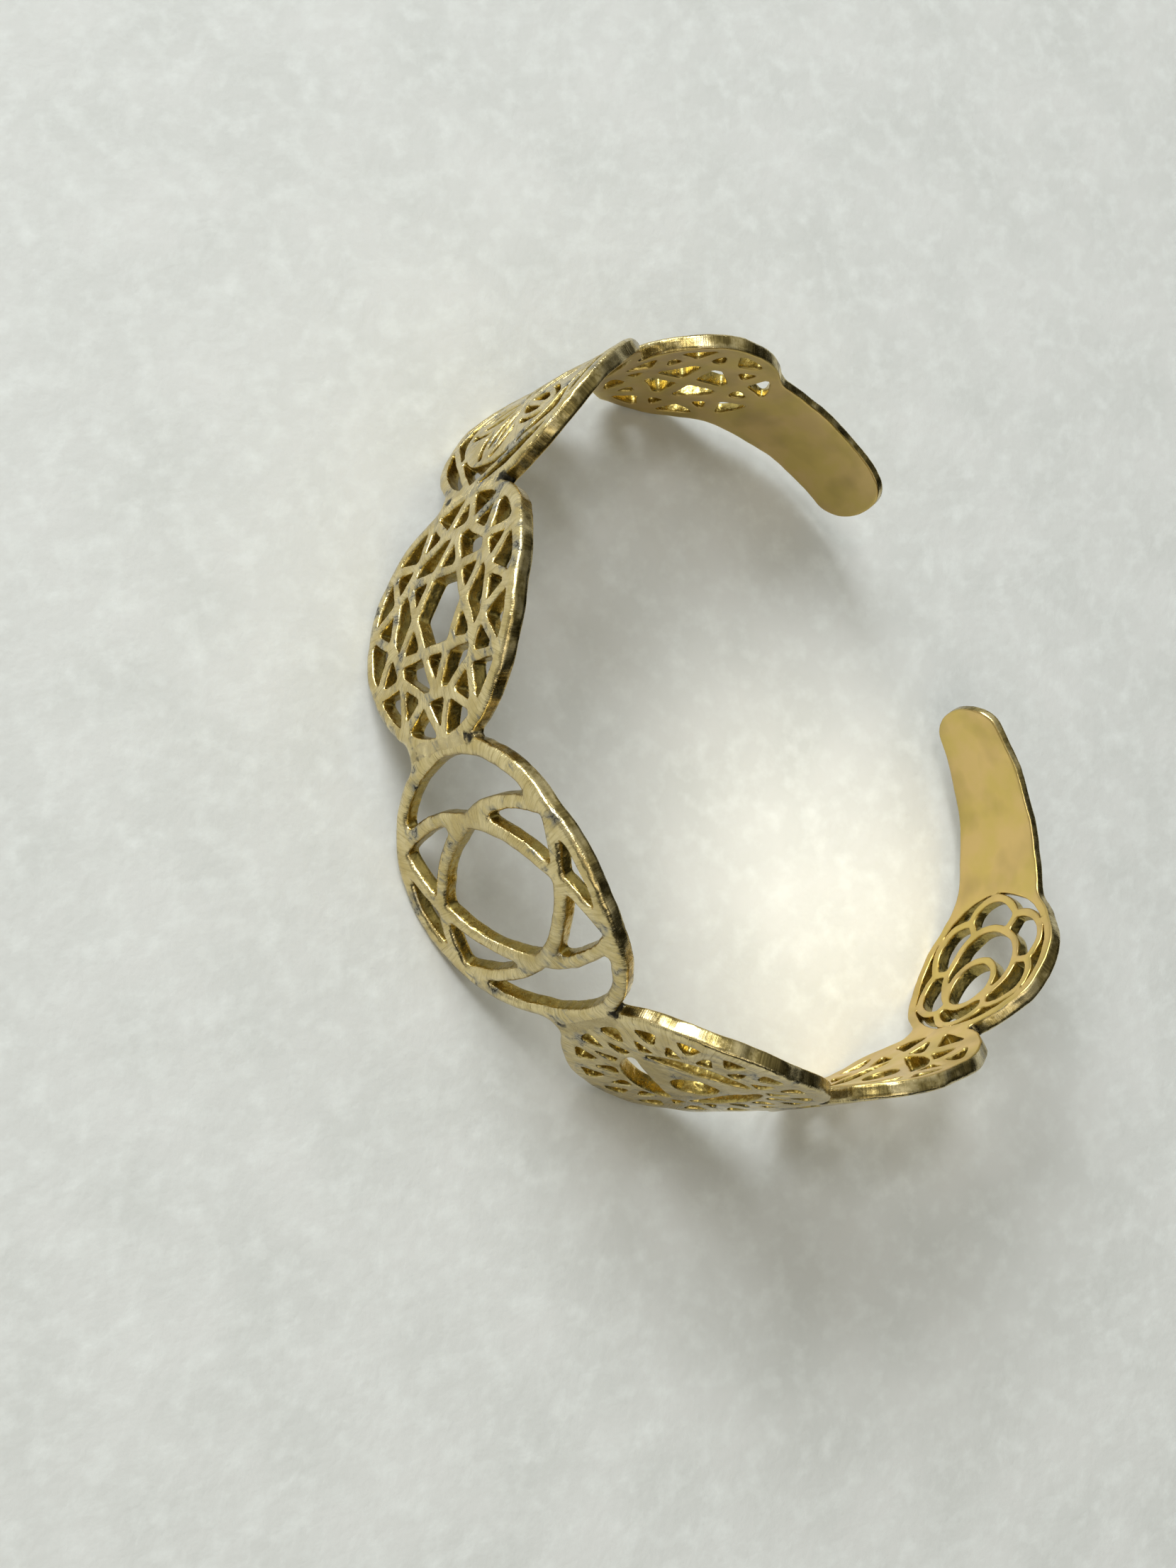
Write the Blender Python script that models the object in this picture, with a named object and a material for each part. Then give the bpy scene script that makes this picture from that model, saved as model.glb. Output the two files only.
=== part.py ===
"""Open cuff bracelet of seven pierced brass medallions, cast in one piece, lying on its side.

The cuff is laid out flat first: u runs along the band and v across it, with v = 0 on the band's middle
line. The openings are cut in the flat pattern, the pattern gets its wall thickness, and it is bent round
the wrist's curve. At the end the cuff is tipped onto the rims that carry it when it lies on its side.
Flat points are complex numbers, u + v j. All lengths are in metres.
"""
import cmath
import itertools
import math

import bpy
import numpy as np
from mathutils import Quaternion, Vector
from mathutils.geometry import delaunay_2d_cdt

# Wall of the medallions and of the tabs, rounding of the openings' corners, and depth of the flats that
# the cuff rests on
WALL = 0.00125
TAB_WALL = 0.0008
CORNER = 0.0002
FOOT_FLAT = 0.00028

# The medallions in their order along the band: their radii, how far their centres lie above the band's
# middle line, the widths of their plain rims and of the bars between their openings, and the bend radii
# of the band at their middles and at the necks between them
RADII = (0.00735, 0.00910, 0.01015, 0.01135, 0.00997, 0.00865, 0.00745)
LIFTS = (0.0, 0.0, 0.0, 0.0002, 0.00015, 0.0, 0.0)
RIMS = (0.00090, 0.00090, 0.00100, 0.00120, 0.00125, 0.00110, 0.00080)
BARS = (0.00075, 0.00080, 0.00085, 0.00140, 0.00080, 0.00080, 0.00070)
BENDS = (0.0390, 0.0172, 0.0240, 0.0344, 0.0298, 0.0233, 0.0203)
NECK_BENDS = (0.0158, 0.0700, 0.0289, 0.0256, 0.0337, 0.0203)
MIDDLE = 3

# Distances along the band between the centres of neighbours, which overlap, and radii of the hollows in
# the band's long edges at the necks
PITCHES = (0.01570, 0.01827, 0.02069, 0.02074, 0.01794, 0.01528)
UPPER_NECK_HOLLOW = 0.0003
LOWER_NECK_HOLLOW = 0.0012

# The tabs, before the first and after the last medallion: length past the medallion and bend radius at
# the tip. Their long edges: distance from the band's middle line at the medallion and near the tip, and
# radius of the hollow where the edge leaves the medallion
TAB_LENGTHS = (0.0131, 0.0153)
TAB_BENDS = (0.0153, 0.0195)
FIRST_TAB_UPPER = (0.0041, 0.0029, 0.0020)
FIRST_TAB_LOWER = (0.0051, 0.0045, 0.0100)
LAST_TAB_UPPER = (0.0044, 0.0029, 0.0025)
LAST_TAB_LOWER = (0.0048, 0.0036, 0.0080)
TIP_ROUND = 0.0024

# Direction of the band at the middle medallion, towards the first tab, in degrees from +X
MIDDLE_HEADING = 104.0

# Fineness of the facets
RIM_RISE = 0.00004
OPENING_RISE = 0.00006
CORNER_STEPS = 1
TIP_STEPS = 5
BEND_PITCH = 0.0036
CURVE_STEP = 0.00005
CLOSE = 0.00012
MERGE = 0.00003
SLACK = 0.0000003

# A corner turns by more than SHARP. Its rounding counts at most WIDEST of its turn, and takes at most this
# share of either side
SHARP = math.radians(38)
WIDEST = math.radians(150)
SOFT_SHARE = 0.42

BRASS = (0.62, 0.44, 0.17, 1.0)


def polar(radius, degrees):
    return cmath.rect(radius, math.radians(degrees))


def line(start, end):
    """Keeps what lies to the left of the line from start to end."""
    way = (end - start) / abs(end - start)
    return ("line", start, way)


def disc(centre, radius):
    """Keeps the inside of a circle."""
    return ("disc", centre, radius)


def off(centre, radius):
    """Keeps the outside of a circle."""
    return ("off", centre, radius)


def room(edge, point):
    """How far a point lies on the kept side of an edge."""
    kind, origin, size = edge
    if kind == "line":
        return (size.conjugate() * (point - origin)).imag
    reach = abs(point - origin)
    return size - reach if kind == "disc" else reach - size


def facet_angle(radius, rise):
    """Angle of one facet of a circle, so that the facet keeps within rise of the circle."""
    return 2 * math.acos(1 - rise / radius)


def arc(centre, start, end, turn, rise):
    """Points on the circle after start and before end; turn is 1 for leftwards and -1 for rightwards."""
    sweep = (cmath.phase((end - centre) / (start - centre)) * turn) % (2 * math.pi)
    count = max(1, round(sweep / facet_angle(abs(start - centre), rise)))
    return [centre + (start - centre) * cmath.exp(1j * turn * sweep * k / count) for k in range(1, count)]


def crossing(edge, inset, kept, lost):
    for _ in range(40):
        middle = (kept + lost) / 2
        if room(edge, middle) >= inset:
            kept = middle
        else:
            lost = middle
    return kept


def trim(outline, edge, inset):
    """Cuts an outline back to the kept side of an edge that is first moved inwards by inset."""
    keeps = [room(edge, point) >= inset for point in outline]
    if all(keeps) or not any(keeps):
        return outline if all(keeps) else []
    count = len(outline)
    first = next(k for k in range(count) if keeps[k] and not keeps[k - 1])
    order = [(first + k) % count for k in range(count)]
    run = list(itertools.takewhile(lambda k: keeps[k], order))
    kept = [outline[k] for k in run]
    enter = crossing(edge, inset, outline[first], outline[first - 1])
    leave = crossing(edge, inset, kept[-1], outline[(run[-1] + 1) % count])
    kind, centre, _ = edge
    bend = [] if kind == "line" else arc(centre, leave, enter, 1 if kind == "disc" else -1, OPENING_RISE)
    return [enter] + kept + [leave] + bend


def soften(outline, radius, steps):
    """Rounds the corners of an outline as casting does."""
    outline = [p for k, p in enumerate(outline) if abs(p - outline[k - 1]) > CLOSE]
    count = len(outline)
    places = [0.0]
    for k in range(count):
        places.append(places[-1] + abs(outline[(k + 1) % count] - outline[k]))
    length = places[-1]

    def at(place):
        place %= length
        k = max(j for j in range(count) if places[j] <= place)
        share = (place - places[k]) / (places[k + 1] - places[k])
        return outline[k] + (outline[(k + 1) % count] - outline[k]) * share

    turns = [abs(cmath.phase((outline[(k + 1) % count] - outline[k]) / (outline[k] - outline[k - 1])))
             for k in range(count)]
    sharp = [k for k in range(count) if turns[k] > SHARP]
    if len(sharp) < 2:
        return outline
    sides = [(places[sharp[(j + 1) % len(sharp)]] - places[k]) % length for j, k in enumerate(sharp)]
    backs = [min(radius * math.tan(min(turns[k], WIDEST) / 2), SOFT_SHARE * min(sides[j], sides[j - 1]))
             for j, k in enumerate(sharp)]
    rounded = []
    for j, k in enumerate(sharp):
        start, end = at(places[k] - backs[j]), at(places[k] + backs[j])
        for part in range(steps + 1):
            t = part / steps
            rounded.append((1 - t) ** 2 * start + 2 * t * (1 - t) * outline[k] + t ** 2 * end)
        low, high = backs[j] + CLOSE, sides[j] - backs[(j + 1) % len(sharp)] - CLOSE
        between_corners = [(places[m % count] - places[k]) % length for m in range(k + 1, k + count)]
        rounded += [outline[(k + 1 + m) % count] for m, gone in enumerate(between_corners) if low < gone < high]
    return rounded


def opening(edges, bar):
    """One opening: the space inside all its edges, half a bar's width back from each."""
    far = 1.0
    outline = [complex(-far, -far), complex(far, -far), complex(far, far), complex(-far, far)]
    for edge in edges:
        if edge[0] == "disc":
            sides = round(2 * math.pi / facet_angle(edge[2], OPENING_RISE))
            outline = [edge[1] + cmath.rect(edge[2] - bar / 2, 2 * math.pi * k / sides) for k in range(sides)]
            break
    for edge in edges:
        outline = trim(outline, edge, bar / 2 - SLACK) if outline else []
    return outline


def between(corners):
    """Edges of the straight-sided space whose corners are given leftwards round."""
    return [line(corners[k], corners[(k + 1) % len(corners)]) for k in range(len(corners))]


def star_lattice(radius, rim):
    """A six-pointed star in a twelve-sided ring, with twelve points that reach the rim."""
    heart, star, ring, reach = radius * 0.33, radius * 0.59, radius * 0.625, radius * 0.93
    cells = [between([polar(heart, 30 + 60 * k) for k in range(6)])]
    for k in range(6):
        turn = 60 * k
        cells.append(between([polar(heart, turn - 30), polar(star, turn), polar(heart, turn + 30)]))
        cells.append(between([polar(heart, turn + 30), polar(star, turn), polar(ring, turn + 15),
                              polar(ring, turn + 45), polar(star, turn + 60)]))
    for k in range(12):
        turn = 30 * k
        cells.append(between([polar(ring, turn - 15), polar(reach, turn), polar(ring, turn + 15)]))
        cells.append([rim, line(polar(ring, turn + 15), polar(reach, turn)),
                      line(polar(reach, turn + 30), polar(ring, turn + 15))])
    return cells


def crossed_ovals(radius, rim):
    """Two pointed ovals that cross, leaning apart, and meet the rim at their tips."""
    lean, tip, half = 27, radius * 0.94, radius * 0.46
    sweep = (tip ** 2 + half ** 2) / (2 * half)
    aside = sweep - half
    left_a, right_a = disc(polar(aside, lean), sweep), disc(polar(aside, 180 + lean), sweep)
    left_b, right_b = disc(polar(aside, -lean), sweep), disc(polar(aside, 180 - lean), sweep)

    def outside(edge):
        return off(edge[1], edge[2])

    cells = [[left_a, right_a, left_b, right_b]]
    for side in (1, -1):
        far = line(-side, side)
        cells.append([rim, far, left_a, right_a, outside(left_b if side > 0 else right_b)])
        cells.append([rim, far, left_b, right_b, outside(right_a if side > 0 else left_a)])
        cells.append([rim, far, outside(right_a if side > 0 else left_a),
                      outside(left_b if side > 0 else right_b)])
    cells.append([rim, outside(left_a), outside(left_b)])
    cells.append([rim, outside(right_a), outside(right_b)])
    return cells


def three_slots(radius, ring, turned):
    """A middle hole, and three long slots round it inside a ring."""
    cells = [[disc(polar(radius * 0.05, turned + 135), radius * 0.205)]]
    for k in range(3):
        way = polar(1, turned + 120 * k)
        near = way * radius * 0.27
        cells.append([disc(0, ring), line(near + 1j * way, near - 1j * way)])
    return cells


def drop_rings(radius, rim, count, turned):
    """Two rings of small drops round three long slots."""
    ring, crest, foot = radius * 0.54, radius * 0.83, radius * 0.65
    pitch = 360 / count
    cells = three_slots(radius, ring, turned)
    for k in range(count):
        turn = turned + pitch * k
        cells.append(between([polar(crest, turn), polar(ring, turn + pitch / 2), polar(ring, turn - pitch / 2)]))
        cells.append([rim, line(polar(foot, turn + pitch / 2), polar(radius, turn)),
                      line(polar(radius, turn + pitch), polar(foot, turn + pitch / 2))])
    return cells


def spoked_slots(radius, rim, count, turned):
    """One ring of leaning openings round three long slots."""
    ring, pitch, lean = radius * 0.64, 360 / count, 14
    cells = three_slots(radius, ring, turned)
    for k in range(count):
        turn = turned + pitch * k
        cells.append([rim, line(polar(ring, turn), polar(radius, turn + lean)),
                      line(polar(radius, turn + pitch + lean), polar(ring, turn + pitch)), off(0, ring)])
    return cells


def flower(radius, rim, turned):
    """Six petals and six leaves round an offset ring."""
    eye, eye_ring = polar(radius * 0.24, turned - 12), radius * 0.32
    heart, heart_ring = polar(radius * 0.02, turned), radius * 0.50
    lobe_out, lobe = radius * 0.47, radius * 0.37
    cells = [[disc(eye, eye_ring)], [disc(heart, heart_ring), off(eye, eye_ring)]]
    for k in range(6):
        turn = turned + 60 * k
        here, after = polar(lobe_out, turn), polar(lobe_out, turn + 60)
        petal = [disc(here, lobe), line(0, polar(1, turn - 30)), line(polar(1, turn + 30), 0),
                 off(heart, heart_ring)]
        cells.append(petal + [off(eye, eye_ring)] if k == 0 else petal)
        cells.append([rim, line(0, here), line(after, 0), off(here, lobe), off(after, lobe)])
    return cells


def nested_leaves(radius, rim, count, turned):
    """Slots along the rim, leaves in the corners of a straight-sided figure, and petals inside a ring."""
    corner, ring, sweep, aside = radius * 0.93, radius * 0.66, radius * 0.50, radius * 0.375
    pitch = 360 / count
    cells = []
    for k in range(count):
        turn = turned + pitch * k
        before, here, after = [polar(corner, turn + pitch * step) for step in (-1, 0, 1)]
        cells.append([rim, line(after, here)])
        cells.append([line(here, after), line(before, here), line(0, polar(1, turn - pitch / 2)),
                      line(polar(1, turn + pitch / 2), 0), off(0, ring)])
        side = polar(aside, turn + 90)
        petal_middle = polar(ring / 2, turn)
        cells.append([disc(petal_middle + side, sweep), disc(petal_middle - side, sweep), disc(0, ring)])
    return cells


def petal_star(radius, rim, count, turned):
    """A ring of rim openings over a star of points, and a middle opening with two crossing bars."""
    foot, reach, eye = radius * 0.55, radius * 0.95, radius * 0.52
    pitch = 360 / count
    middle = between([polar(eye, turned + pitch * (k + 0.5)) for k in range(count)])
    cells = [middle + [line(0, polar(1, turned + 90 * k)), line(polar(1, turned + 90 * k + 90), 0)]
             for k in range(4)]
    for k in range(count):
        turn = turned + pitch * k
        cells.append(between([polar(foot, turn - pitch / 2), polar(reach, turn), polar(foot, turn + pitch / 2)]))
        cells.append([rim, line(polar(foot, turn + pitch / 2), polar(reach, turn)),
                      line(polar(reach, turn + pitch), polar(foot, turn + pitch / 2))])
    return cells


def patterns(rims):
    """For each medallion, its openings as the edges that bound them, inside the given discs."""
    return [
        petal_star(RADII[0], rims[0], 7, 4),
        nested_leaves(RADII[1], rims[1], 5, 44),
        star_lattice(RADII[2], rims[2]),
        crossed_ovals(RADII[3], rims[3]),
        drop_rings(RADII[4], rims[4], 12, 63),
        spoked_slots(RADII[5], rims[5], 7, 20),
        flower(RADII[6], rims[6], 2),
    ]


def medallion_places():
    """Where each medallion's middle lies along the band, with the middle one at 0."""
    places = [0.0] + [-total for total in itertools.accumulate(PITCHES)]
    return [place - places[MIDDLE] for place in places]


def medallion_centres():
    return [complex(place, lift) for place, lift in zip(medallion_places(), LIFTS)]


def band_ends():
    """Where the tips of the last and the first tab lie along the band."""
    places = medallion_places()
    return places[-1] - RADII[-1] - TAB_LENGTHS[1], places[0] + RADII[0] + TAB_LENGTHS[0]


def tab_edge(edge, radius, length):
    """Long edge of a tab beyond a medallion at 0, drawn above the middle line, up to the tip's rounding."""
    root, tip, hollow = edge
    start, end = complex(radius, root), complex(radius + length - TIP_ROUND, tip)
    way = (end - start) / abs(end - start)
    offset = start + 1j * way * hollow
    b = (way.conjugate() * offset).real
    reach = -b + math.sqrt(b * b - abs(offset) ** 2 + (radius + hollow) ** 2)
    centre = offset + way * reach
    touch_disc, touch_tab = centre * radius / abs(centre), centre - 1j * way * hollow
    return [touch_disc] + arc(centre, touch_disc, touch_tab, 1, RIM_RISE) + [touch_tab, end]


def tab_tip(upper_end, lower_end, out):
    """Rounded tip between the ends of a tab's long edges; out is 1 for a tip towards +u and -1 for -u."""
    middle, half = (upper_end + lower_end) / 2, (upper_end - lower_end).imag / 2
    steps = 2 * TIP_STEPS
    turns = [math.pi * (k / steps - 0.5) for k in range(1, steps)]
    return [middle + out * complex(TIP_ROUND * math.cos(turn), half * math.sin(turn)) for turn in turns]


def long_edge(centres, first_tab, last_tab, hollow):
    """Long edge of the flat band, drawn above the middle line, from the first tab to the last one."""
    first = tab_edge(first_tab, RADII[0], TAB_LENGTHS[0])
    last = tab_edge(last_tab, RADII[-1], TAB_LENGTHS[1])
    points = [centres[0] + point for point in reversed(first)]
    for here, radius, after, next_radius in zip(centres, RADII, centres[1:], RADII[1:]):
        gap, reach, next_reach = abs(after - here), radius + hollow, next_radius + hollow
        along = (gap ** 2 + reach ** 2 - next_reach ** 2) / (2 * gap)
        middle = here + (after - here) / gap * complex(along, -math.sqrt(reach ** 2 - along ** 2))
        leave = here + (middle - here) * radius / reach
        enter = after + (middle - after) * next_radius / next_reach
        points += arc(here, points[-1], leave, 1, RIM_RISE) + [leave]
        points += arc(middle, leave, enter, -1, RIM_RISE) + [enter]
    last = [centres[-1] - point.conjugate() for point in last]
    return points + arc(centres[-1], points[-1], last[0], 1, RIM_RISE) + last


def band_outline():
    """Outline of the flat band, leftwards round from the upper end of the first tab's tip."""
    centres = medallion_centres()
    mirrored = [centre.conjugate() for centre in centres]
    upper = long_edge(centres, FIRST_TAB_UPPER, LAST_TAB_UPPER, UPPER_NECK_HOLLOW)
    lower = long_edge(mirrored, FIRST_TAB_LOWER, LAST_TAB_LOWER, LOWER_NECK_HOLLOW)
    lower = [point.conjugate() for point in reversed(lower)]
    return upper + tab_tip(upper[-1], lower[0], -1) + lower + tab_tip(upper[0], lower[-1], 1)


def band_openings():
    rims = [disc(0, radius - rim + bar / 2) for radius, rim, bar in zip(RADII, RIMS, BARS)]
    cells = []
    for centre, bar, pattern in zip(medallion_centres(), BARS, patterns(rims)):
        for edges in pattern:
            outline = opening(edges, bar)
            if len(outline) > 2:
                cells.append([centre + point for point in soften(outline, CORNER, CORNER_STEPS)])
    return cells


def wall_at(u):
    """Thickness of the wall along the band: it thins over the outer halves of the end medallions."""
    places = medallion_places()
    knots = [places[-1] - RADII[-1], places[-1], places[0], places[0] + RADII[0]]
    return float(np.interp(u, knots, [TAB_WALL, WALL, WALL, TAB_WALL]))


def band_curve():
    """Middle line of the wall seen from above: place along the band, x, y and heading."""
    places = medallion_places()
    low_end, high_end = band_ends()
    necks = [place + (after - place) * radius / (radius + next_radius)
             for place, after, radius, next_radius in zip(places, places[1:], RADII, RADII[1:])]
    knots = sorted([(low_end, TAB_BENDS[1]), (high_end, TAB_BENDS[0]),
                    *zip(places, BENDS), *zip(necks, NECK_BENDS)])
    u = np.arange(low_end - BEND_PITCH, high_end + BEND_PITCH, CURVE_STEP)
    bend = np.interp(u, [k[0] for k in knots], [1 / k[1] for k in knots])
    turned = np.concatenate([[0], np.cumsum((bend[1:] + bend[:-1]) / 2) * CURVE_STEP])
    heading = math.radians(MIDDLE_HEADING) - turned + np.interp(0, u, turned)
    x = np.concatenate([[0], np.cumsum(np.cos((heading[1:] + heading[:-1]) / 2)) * CURVE_STEP])
    y = np.concatenate([[0], np.cumsum(np.sin((heading[1:] + heading[:-1]) / 2)) * CURVE_STEP])
    return u, x - np.interp(0, u, x), y - np.interp(0, u, y), heading


def flat_triangles(outline, openings):
    """Triangles of the pierced flat band, split at the lines where it is bent."""
    loops = [outline] + openings
    points, faces, folds = [], [], []
    for loop in loops:
        faces.append(list(range(len(points), len(points) + len(loop))))
        points += [Vector((p.real, p.imag)) for p in loop]
    low, high = min(p.real for p in outline), max(p.real for p in outline)
    half = max(p.imag for p in outline) + BEND_PITCH
    count = round((high - low) / BEND_PITCH)
    for k in range(1, count):
        u = low + (high - low) * k / count
        folds.append((len(points), len(points) + 1))
        points += [Vector((u, -half)), Vector((u, half))]
    points, _, triangles, _, _, sources = delaunay_2d_cdt(points, folds, faces, 0, MERGE)
    kept = [tri for tri, source in zip(triangles, sources) if list(source) == [0]]
    used = sorted({k for tri in kept for k in tri})
    place = {k: j for j, k in enumerate(used)}
    return [points[k] for k in used], [tuple(place[k] for k in tri) for tri in kept]


def resting_turn(flat_rests, middle):
    """Turn that brings the three points that carry the cuff onto one level."""
    for a, b, c in itertools.combinations(flat_rests, 3):
        up = (b - a).cross(c - a).normalized()
        if up.z < 0:
            up = -up
        level = min((p - a).dot(up) for p in flat_rests)
        corners = [Vector((p.x, p.y)) for p in (a, b, c)]
        sides = [(corners[k] - corners[k - 1]).cross(Vector((middle.x, middle.y)) - corners[k - 1])
                 for k in range(3)]
        held = all(s > 0 for s in sides) or all(s < 0 for s in sides)
        if level > -SLACK and held:
            return up.rotation_difference(Vector((0, 0, 1)))
    return Quaternion()


def build_cuff():
    u, x, y, heading = band_curve()

    def bent(point_u, point_v, height):
        way = np.interp(point_u, u, heading)
        return Vector((np.interp(point_u, u, x) - height * math.sin(way),
                       np.interp(point_u, u, y) + height * math.cos(way), point_v))

    flat, triangles = flat_triangles(band_outline(), band_openings())
    outer = [bent(p.x, p.y, wall_at(p.x) - WALL / 2) for p in flat]
    inner = [bent(p.x, p.y, -WALL / 2) for p in flat]
    count = len(flat)
    faces, edges = [], set()
    for a, b, c in triangles:
        faces += [(c, b, a), (count + a, count + b, count + c)]
        edges |= {(a, b), (b, c), (c, a)}
    for a, b in edges:
        if (b, a) not in edges:
            faces += [(a, b, count + b), (a, count + b, count + a)]
    weights = [(flat[b] - flat[a]).cross(flat[c] - flat[a]) for a, b, c in triangles]
    middle = Vector((0, 0, 0))
    for weight, tri in zip(weights, triangles):
        middle += weight * sum((outer[k] + inner[k] for k in tri), Vector((0, 0, 0))) / 6
    middle /= sum(weights)
    rests = [bent(centre.real, centre.imag - radius, 0) for centre, radius in zip(medallion_centres(), RADII)]
    low_end, high_end = band_ends()
    rests += [bent(high_end - TIP_ROUND, -FIRST_TAB_LOWER[1], 0),
              bent(low_end + TIP_ROUND, -LAST_TAB_LOWER[1], 0)]
    turn = resting_turn(rests, middle)
    points = [turn @ p for p in outer + inner]
    floor = min(p.z for p in points) + FOOT_FLAT
    low = Vector((min(p.x for p in points), min(p.y for p in points)))
    high = Vector((max(p.x for p in points), max(p.y for p in points)))
    centre = (low + high) / 2
    points = [Vector((p.x - centre.x, p.y - centre.y, max(p.z - floor, 0))) for p in points]
    mesh = bpy.data.meshes.new("cuff")
    mesh.from_pydata(points, [], faces)
    mesh.update()
    cuff = bpy.data.objects.new("cuff", mesh)
    bpy.context.scene.collection.objects.link(cuff)
    return cuff


def brass():
    material = bpy.data.materials.new("brass")
    material.use_nodes = True
    shader = material.node_tree.nodes["Principled BSDF"]
    shader.inputs["Base Color"].default_value = BRASS
    shader.inputs["Metallic"].default_value = 1.0
    shader.inputs["Roughness"].default_value = 0.32
    return material


for old in list(bpy.data.objects):
    bpy.data.objects.remove(old)
cuff = build_cuff()
cuff.data.materials.append(brass())
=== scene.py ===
"""Looks of the open brass cuff bracelet: its rounded, filed and worn casting, a pale floor and soft light.

The casting is made once more from the sizes that its solid has, with finer facets and rounded edges. It is
laid out flat first: u runs along the band and v across it, with v = 0 on the band's middle line. Flat
points are complex numbers, u + v j. All lengths are in metres, and angles in degrees unless said otherwise.
"""
import cmath
import itertools
import math

import bpy
import numpy as np
from mathutils import Matrix, Quaternion, Vector, kdtree, noise
from mathutils.geometry import delaunay_2d_cdt


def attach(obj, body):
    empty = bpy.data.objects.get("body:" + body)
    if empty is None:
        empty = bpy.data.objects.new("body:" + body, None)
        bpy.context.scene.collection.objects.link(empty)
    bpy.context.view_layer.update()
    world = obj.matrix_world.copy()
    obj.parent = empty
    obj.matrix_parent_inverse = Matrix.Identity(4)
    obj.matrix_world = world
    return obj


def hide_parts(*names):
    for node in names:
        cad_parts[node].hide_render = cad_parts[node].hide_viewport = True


# Wall of the medallions and of the tabs, and depth of the flats that the cuff rests on
WALL = 0.00125
TAB_WALL = 0.0008
FOOT_FLAT = 0.00028

# The medallions in their order along the band: their radii, how far their centres lie above the band's
# middle line, the widths of their plain rims and of the bars between their openings, the rounding of their
# openings' corners, and the bend radii of the band at their middles and at the necks between them
RADII = (0.00735, 0.00910, 0.01015, 0.01135, 0.00997, 0.00865, 0.00745)
LIFTS = (0.0, 0.0, 0.0, 0.0002, 0.00015, 0.0, 0.0)
RIMS = (0.00090, 0.00090, 0.00100, 0.00120, 0.00125, 0.00110, 0.00080)
BARS = (0.00102, 0.00052, 0.00074, 0.00108, 0.00046, 0.00060, 0.00066)
CORNERS = (0.00034, 0.00015, 0.00026, 0.00045, 0.00042, 0.00030, 0.00025)
BENDS = (0.0390, 0.0172, 0.0240, 0.0344, 0.0298, 0.0233, 0.0203)
NECK_BENDS = (0.0158, 0.0700, 0.0289, 0.0256, 0.0337, 0.0203)
MIDDLE = 3

# Distances along the band between the centres of neighbours, which overlap, and radii of the hollows in
# the band's long edges at the necks
PITCHES = (0.01570, 0.01827, 0.02069, 0.02074, 0.01794, 0.01528)
UPPER_NECK_HOLLOW = 0.0003
LOWER_NECK_HOLLOW = 0.0012

# The tabs, before the first and after the last medallion: length past the medallion and bend radius at
# the tip. Their long edges: distance from the band's middle line at the medallion and near the tip, and
# radius of the hollow where the edge leaves the medallion
TAB_LENGTHS = (0.0131, 0.0153)
TAB_BENDS = (0.0153, 0.0195)
FIRST_TAB_UPPER = (0.0041, 0.0029, 0.0020)
FIRST_TAB_LOWER = (0.0051, 0.0045, 0.0100)
LAST_TAB_UPPER = (0.0044, 0.0029, 0.0025)
LAST_TAB_LOWER = (0.0048, 0.0036, 0.0080)
TIP_ROUND = 0.0024

# Direction of the band at the middle medallion, towards the first tab, in degrees from +X
MIDDLE_HEADING = 104.0

# Fineness of the outlines: how far their facets may lie from an arc at rims and at openings, and how many
# facets round a corner and a quarter of a tab's tip
RIM_RISE = 0.000006
OPENING_RISE = 0.000005
CORNER_STEPS = 4
TIP_STEPS = 12

# The band's curve is worked out in steps of this length, and this far beyond its tips
CURVE_STEP = 0.00005
CURVE_MARGIN = 0.0036

# Points nearer than CLOSE are one point of an outline, and points nearer than MERGE one corner of the
# triangles. SLACK allows for the rounding of numbers. Halvings find where an outline crosses an edge
CLOSE = 0.00006
MERGE = 0.000008
SLACK = 0.0000003
HALVINGS = 40

# Spacing of the casting's points along rims, along openings and over the faces, least number of points
# along an outline, and rows of points in the walls between the two faces. Distances from an edge are
# measured to points along it that are BOUNDARY_PITCH apart
RIM_PITCH = 0.00035
OPENING_PITCH = 0.00022
FACE_PITCH = 0.0009
FEWEST_POINTS = 10
WALL_ROWS = 3
BOUNDARY_PITCH = 0.00002

# Rounding of the edges, for each medallion: how far it reaches onto the outer face from the rims and from
# the openings. Its depth is ROUND_DEPTH of its reach. Rings of points lie at the shares RINGS of its reach,
# and a ring's point is left out where an edge is nearer than RING_CLEAR of its distance
RIM_ROUNDS = (0.00034, 0.00040, 0.00048, 0.00062, 0.00036, 0.00034, 0.00030)
OPENING_ROUNDS = (0.00014, 0.00016, 0.00024, 0.00050, 0.00013, 0.00014, 0.00014)
INNER_ROUND = 0.00015
ROUND_DEPTH = 0.75
RINGS = (0.17, 0.52, 1.0)
RING_CLEAR = 0.9

# What differs from one medallion to the next blends this far to either side of the neck, and patina
# with painted shade gathers this far out from where their rims cross
NECK_BLEND = 0.0006
NOTCH_OUT = 0.0006

# Unevenness of the hand-finished casting: size of the swells, and how far they move outlines and surface.
# The tabs' outlines are smoother, with TAB_SWELL of these moves. The seed keeps the swells the same in
# each run
OUTLINE_SWELLS = ((0.0019, 0.00011), (0.0006, 0.000025))
SURFACE_SWELLS = ((0.0030, 0.00010), (0.0009, 0.000026))
TAB_SWELL = 0.25
SWELL_SEED = 1

# A corner turns by more than SHARP. Its rounding counts at most WIDEST of its turn, both in radians, and
# takes at most SOFT_SHARE of either side
SHARP = math.radians(38)
WIDEST = math.radians(150)
SOFT_SHARE = 0.42

# Order of the casting's materials
FACE, INNER, RIM, OPENING = range(4)

# The materials measure the casting in millimetres
PER_METRE = 1000


def polar(radius, degrees):
    """Flat point at a distance and a direction from 0."""
    return cmath.rect(radius, math.radians(degrees))


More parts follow.
